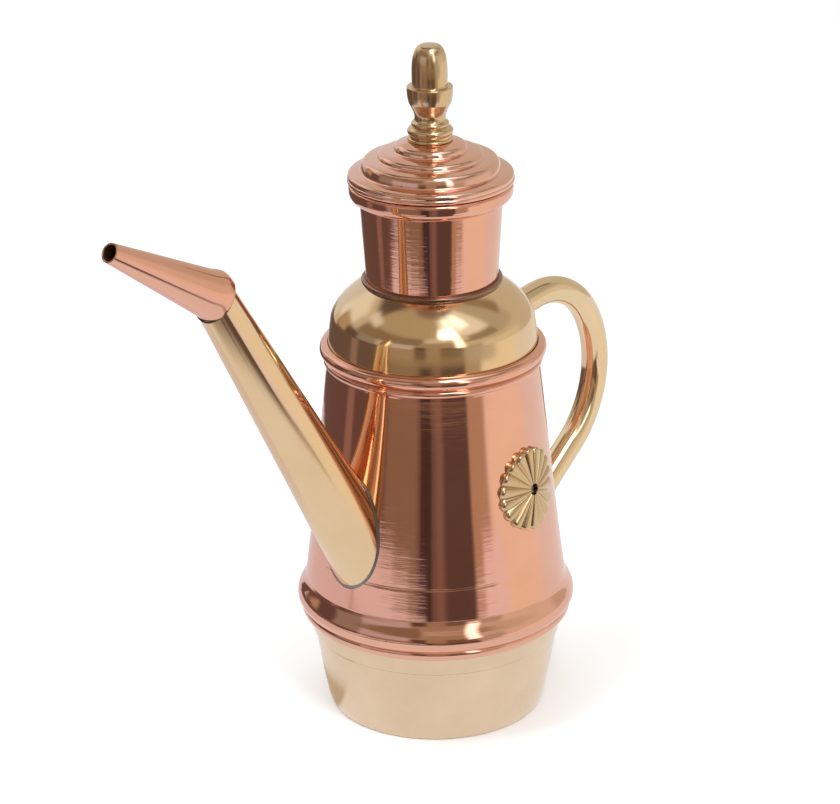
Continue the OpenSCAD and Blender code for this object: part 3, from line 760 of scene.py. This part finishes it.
# ---------------------------------------------------------------- rosettes
def rosette_frame(way):
    turn = Matrix.Rotation(math.radians(way * ROSETTE_AZIMUTH), 4, "Z")
    place = Matrix.Translation((ROSETTE_X, 0, ROSETTE_Z))
    tilt = Matrix.Rotation(math.pi / 2 - ROSETTE_TILT, 4, "Y")
    return turn @ place @ tilt


def make_rosette(name, node, way):
    """Stamped petals bent to the can: rounded ridges, sharp valleys, a scalloped edge turned in below."""
    around, across, back_rings = PETALS * 20, 48, 6
    foot_r = ROSETTE_R - 5.2
    where = rosette_frame(way)

    def ridge(a):
        return abs(math.cos(a * PETALS / 2)) ** PETAL_ROUND

    def edge_r(a):
        return ROSETTE_R - PETAL_SCALLOP * (1 - ridge(a))

    def height(rho, a):
        side, up = rho * math.sin(a) * ROSETTE_SQUASH, rho * math.cos(a)
        bend = ROSETTE_BEND_R - math.sqrt(ROSETTE_BEND_R ** 2 - side ** 2)
        swing = PETAL_DEPTH * (rho / ROSETTE_R) ** 0.9
        end = max(0.0, (rho - (edge_r(a) - ROSETTE_CURL_W)) / ROSETTE_CURL_W)
        curl = ROSETTE_CURL * (1 - math.sqrt(max(0.0, 1 - min(1, end) ** 2)))
        return ROSETTE_H - bend - ROSETTE_DISH * rho * rho + swing * (ridge(a) - 0.75) - curl

    def ring(rho_of, drop=0.0):
        row = []
        for i in range(around):
            a = TURN * i / around
            rho = rho_of(a)
            z = height(rho, a) - drop
            row.append(where @ Vector((rho * math.cos(a), rho * math.sin(a) * ROSETTE_SQUASH, z)))
        return row

    rows = []
    for k in range(across + 1):
        t = 1 - (1 - k / across) ** 1.15
        rows.append(ring(lambda a, t=t: ROSETTE_HOLE_R + (edge_r(a) - ROSETTE_HOLE_R) * t))
    rows.append(ring(lambda a: edge_r(a) - 0.05, drop=0.2))
    for inset, drop in ((0.3, 0.3), (3.2, 1.0)):
        rows.append([on_wall(p, 0.05) for p in ring(lambda a, inset=inset: edge_r(a) - inset, drop)])
    for k in range(back_rings):
        t = 1 - k / (back_rings - 1)
        rows.append(ring(lambda a, t=t: ROSETTE_HOLE_R + (foot_r - ROSETTE_HOLE_R) * t, drop=ROSETTE_T))
    bm = bmesh.new()
    grid_faces(bm, [ring_verts(bm, row) for row in rows], close_rows=True)
    piece = finish_mesh(name, bm, [brass_rosette], sharp=50)
    return stands_for(piece, node, "can")


# ---------------------------------------------------------------- pieces that keep their frame shape
def dress_frame_nodes():
    finish = {
        "foot_solder": solder, "shoulder_solder": solder, "rosette_left_solder": solder,
        "rosette_right_solder": solder, "lid_rim_wire": steel, "lid_sleeve_solder": solder,
        "knob_washer": steel, "knob_screw": steel,
    }
    for node, material in finish.items():
        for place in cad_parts[node].material_slots:
            place.material = material


# ---------------------------------------------------------------- studio
CAMERA_AT = (0.8664, 0.8340, 0.6137)
CAMERA_AZIMUTH, CAMERA_PITCH, CAMERA_ROLL = math.radians(134.17), math.radians(21.877), math.radians(-0.788)
CAMERA_LENS = 137.2
TOWARDS_CAMERA = math.atan2(CAMERA_AT[1], CAMERA_AT[0])


def make_camera():
    data = bpy.data.cameras.new("camera")
    data.lens = CAMERA_LENS
    data.sensor_width = 36.0
    camera = bpy.data.objects.new("camera", data)
    bpy.context.scene.collection.objects.link(camera)
    turn = Matrix.Rotation(CAMERA_AZIMUTH, 4, "Z") @ Matrix.Rotation(math.pi / 2 - CAMERA_PITCH, 4, "X")
    roll = Matrix.Rotation(CAMERA_ROLL, 4, "Z")
    camera.matrix_world = Matrix.Translation(CAMERA_AT) @ turn @ roll
    bpy.context.scene.camera = camera


def smooth_step(x):
    x = min(max(x, 0.0), 1.0)
    return x * x * (3 - 2 * x)


def within(x, low, high, soft):
    """1 between low and high, 0 outside, with edges soft wide."""
    return smooth_step((x - low) / soft + 0.5) * smooth_step((high - x) / soft + 0.5)


# Tints of what the metal mirrors
PLAIN, CREAM, PINK = (1.0, 1.0, 1.0), (1.0, 0.92, 0.78), (1.0, 0.94, 1.0)
ROSE, AMBER, COOL = (1.0, 0.68, 0.60), (1.0, 0.76, 0.52), (1.0, 1.13, 1.25)
OLIVE = (1.0, 0.84, 0.62)
# The room as the metal mirrors it, each panel laid over those before it: azimuths from the camera,
# elevations, edge softness, all in degrees, then brightness and tint. The last three are painted highlights:
# bright panels where lamps would be, which only the metal mirrors and which light nothing.
ROOM_BASE = (0.62, CREAM)
ROOM_PANELS = [
    (-100, 30, 44, 76, 8, 0.48, OLIVE),
    (10, 100, 44, 76, 8, 0.92, PLAIN),
    (20, 66, 63, 78, 5, 1.20, COOL),
    (-100, -12, 22, 45, 6, 0.27, AMBER),
    (36, 98, 29, 43, 5, 0.33, OLIVE),
    (86, 122, 28, 76, 6, 0.50, CREAM),
    (112, 128, 40, 78, 5, 0.30, AMBER),
    (-142, -98, 50, 80, 7, 0.14, ROSE),
    (-152, -112, 10, 43, 8, 0.88, PLAIN),
    (-108, -84, 42, 52, 5, 0.80, PLAIN),
    (-6, 46, 34, 47, 6, 0.68, CREAM),
    (-180, -142, -90, 30, 8, 0.72, PLAIN),
    (-132, -62, -90, 21, 8, 0.14, ROSE),
    (-130, -113, 2, 24, 6, 0.48, AMBER),
    (-92, -66, 2, 24, 6, 0.32, CREAM),
    (-62, 34, -90, 22, 6, 0.40, AMBER),
    (-66, -22, 4, 24, 6, 0.56, PINK),
    (-14, 36, 19, 34, 6, 0.40, OLIVE),
    (-20, -8, -90, 16, 5, 0.13, ROSE),
    (8, 33, -90, 13, 6, 0.20, AMBER),
    (34, 58, -90, 15, 8, 0.50, CREAM),
    (56, 112, -90, 19, 10, 0.76, CREAM),
    (-180, 180, 77, 180, 5, 0.24, ROSE),
    (26, 36, 8, 74, 6, 2.3, PLAIN),
    (44, 66, 58, 74, 8, 1.9, COOL),
    (10, 32, 46, 59, 10, 7.0, PLAIN),
]
# The floor as the metal mirrors it: azimuths, distances from the can in metres, edge softness in degrees
# and in metres, brightness, tint. The narrow dark ones are the streaks down the body.
FLOOR_BASE = (0.84, PLAIN)
FLOOR_PANELS = [
    (34, 100, 0.20, 9.0, 16, 0.14, 0.92, CREAM),
    (-58, 48, 0.22, 9.0, 16, 0.07, 0.18, ROSE),
    (32, 50, 0.22, 9.0, 6, 0.07, 0.48, AMBER),
    (-46, -16, 0.22, 9.0, 5, 0.07, 0.27, AMBER),
    (-13, -3, 0.22, 9.0, 3, 0.07, 0.07, ROSE),
    (1, 7, 0.22, 9.0, 3, 0.07, 0.24, ROSE),
    (9, 33, 0.22, 9.0, 4, 0.07, 0.12, ROSE),
    (-160, -60, 0.25, 9.0, 14, 0.07, 0.15, ROSE),
    (-74, -46, 0.27, 0.44, 6, 0.06, 0.48, ROSE),
    (-98, -88, 0.42, 9.0, 4, 0.10, 0.30, ROSE),
    (-58, 36, 1.0, 9.0, 16, 0.4, 0.36, AMBER),
    (36, 70, 1.0, 9.0, 16, 0.4, 0.52, CREAM),
    (-70, -50, 0.28, 0.460, 6, 0.02, 0.80, PINK),
    (-70, -36, 0.28, 0.430, 6, 0.02, 0.80, PINK),
    (-70, -22, 0.28, 0.405, 6, 0.02, 0.80, PINK),
    (-70, -8, 0.28, 0.375, 6, 0.02, 0.80, PINK),
    (-176, -72, 0.12, 0.380, 8, 0.02, 0.76, PINK),
    (-120, -70, 0.0, 0.060, 6, 0.012, 0.55, OLIVE),
    (41, 60, 0.25, 0.440, 5, 0.02, 0.90, PINK),
    (33, 60, 0.25, 0.360, 5, 0.02, 0.88, PINK),
]


def blended(base, panels_near):
    """The base shade with each panel laid over it in turn."""
    value, tint = base
    shade = [value * c for c in tint]
    for near, value, tint in panels_near:
        shade = [old + (value * c - old) * near for old, c in zip(shade, tint)]
    return (*shade, 1.0)


def near_azimuth(azimuth, low, high, soft):
    return max(within(azimuth + k, low, high, soft) for k in (-360, 0, 360))


def room_shade(azimuth, elevation):
    return blended(ROOM_BASE, [
        (near_azimuth(azimuth, a0, a1, soft) * within(elevation, e0, e1, soft), value, tint)
        for a0, a1, e0, e1, soft, value, tint in ROOM_PANELS])


def floor_shade(azimuth, distance):
    return blended(FLOOR_BASE, [
        (near_azimuth(azimuth, a0, a1, soft_a) * within(distance, r0, r1, soft_r), value, tint)
        for a0, a1, r0, r1, soft_a, soft_r, value, tint in FLOOR_PANELS])


def glow_material(name):
    """An emission that shows the mesh's own glow colours."""
    mat = bpy.data.materials.new(name)
    mat.use_nodes = True
    tree = mat.node_tree
    tree.nodes.clear()
    out = tree.nodes.new("ShaderNodeOutputMaterial")
    emit = tree.nodes.new("ShaderNodeEmission")
    read = tree.nodes.new("ShaderNodeAttribute")
    read.attribute_name = "glow"
    link(tree, read.outputs["Color"], emit.inputs["Color"])
    link(tree, emit.outputs[0], out.inputs["Surface"])
    return mat


def reflection_card(name, rows):
    """A card only the metal sees. rows hold (point, colour) for a grid closed sideways."""
    n = len(rows[0])
    verts = [point for row in rows for point, _ in row]
    faces = [(k * n + i, k * n + (i + 1) % n, (k + 1) * n + (i + 1) % n, (k + 1) * n + i)
             for k in range(len(rows) - 1) for i in range(n)]
    mesh = bpy.data.meshes.new(name)
    mesh.from_pydata(verts, [], faces)
    glow = mesh.color_attributes.new("glow", "FLOAT_COLOR", "POINT")
    shades = [shade for row in rows for _, shade in row]
    for item, shade in zip(glow.data, shades):
        item.color = shade
    mesh.materials.append(glow_material(name))
    obj = bpy.data.objects.new(name, mesh)
    bpy.context.scene.collection.objects.link(obj)
    obj.visible_camera = False
    obj.visible_diffuse = False
    obj.visible_shadow = False
    obj.visible_transmission = False
    obj.visible_volume_scatter = False


# The cards: their columns all the way round, the dome's radius and the height of its centre, and how far
# the floor card lies above the floor
CARD_COLUMNS = 240
DOME_R, DOME_Z = 2.2, 0.12
FLOOR_CARD_Z = 0.0004


def make_reflections():
    """The dome and the floor card whose brightness the metal mirrors."""
    azimuths = [-180 + 360 * i / CARD_COLUMNS for i in range(CARD_COLUMNS)]

    def around(r, azimuth, z):
        turn = TOWARDS_CAMERA + math.radians(azimuth)
        return (r * math.cos(turn), r * math.sin(turn), z)

    lowest, step, rings = -3, 1.5, 62
    dome = []
    for e in [lowest + step * k for k in range(rings)]:
        lift = math.radians(e)
        r, z = DOME_R * math.cos(lift), DOME_Z + DOME_R * math.sin(lift)
        dome.append([(around(r, a, z), room_shade(a, e)) for a in azimuths])
    reflection_card("reflection_dome", dome)

    nearest, rings, crowding = 0.02, 120, 1.6
    ground = []
    for k in range(rings):
        r = nearest + DOME_R * (k / (rings - 1)) ** crowding
        ground.append([(around(r, a, FLOOR_CARD_Z), floor_shade(a, r)) for a in azimuths])
    reflection_card("reflection_floor", ground)


# The middle of the can, which the lights point at
LIT_Z = 0.14


def soft_box(name, azimuth, elevation, distance, size, power):
    """A rectangular light that the metal doesn't mirror."""
    data = bpy.data.lights.new(name, "AREA")
    data.shape = "RECTANGLE"
    data.size, data.size_y = size
    data.energy = power
    light = bpy.data.objects.new(name, data)
    a = TOWARDS_CAMERA + math.radians(azimuth)
    e = math.radians(elevation)
    at = Vector((math.cos(e) * math.cos(a), math.cos(e) * math.sin(a), math.sin(e))) * distance
    at.z += LIT_Z
    light.location = at
    light.rotation_euler = (Vector((0, 0, LIT_Z)) - at).to_track_quat("-Z", "Y").to_euler()
    light.visible_glossy = False
    bpy.context.scene.collection.objects.link(light)


def make_world():
    world = bpy.data.worlds.new("studio")
    bpy.context.scene.world = world
    world.use_nodes = True
    sky = world.node_tree.nodes["Background"]
    sky.inputs["Color"].default_value = (1, 1, 1, 1)
    sky.inputs["Strength"].default_value = 0.9


def make_floor():
    bm = bmesh.new()
    bmesh.ops.create_circle(bm, cap_ends=True, radius=8.0, segments=96)
    mesh = bpy.data.meshes.new("floor")
    bm.to_mesh(mesh)
    bm.free()
    floor = bpy.data.objects.new("floor", mesh)
    bpy.context.scene.collection.objects.link(floor)
    mat, _, bsdf = new_material("pale_floor")
    bsdf.inputs["Base Color"].default_value = (0.93, 0.93, 0.93, 1)
    bsdf.inputs["Roughness"].default_value = 0.8
    bsdf.inputs["Specular IOR Level"].default_value = 0.1
    mesh.materials.append(mat)


def make_studio():
    bpy.context.scene.view_settings.view_transform = "Standard"
    make_world()
    make_floor()
    soft_box("key_soft_box", azimuth=22, elevation=50, distance=1.5, size=(0.5, 0.4), power=9)
    soft_box("top_soft_box", azimuth=-60, elevation=64, distance=1.5, size=(0.6, 0.5), power=9)
    make_reflections()


# ---------------------------------------------------------------- the whole
make_camera()
make_studio()
make_foot()
make_body()
make_shoulder()
make_collar()
make_neck_solder()
make_lid()
make_sleeve()
make_knob()
make_spout()
make_tip()
make_tip_seam()
make_handle()
make_rosette("rosette_left_brass", "rosette_left", 1)
make_rosette("rosette_right_brass", "rosette_right", -1)
dress_frame_nodes()
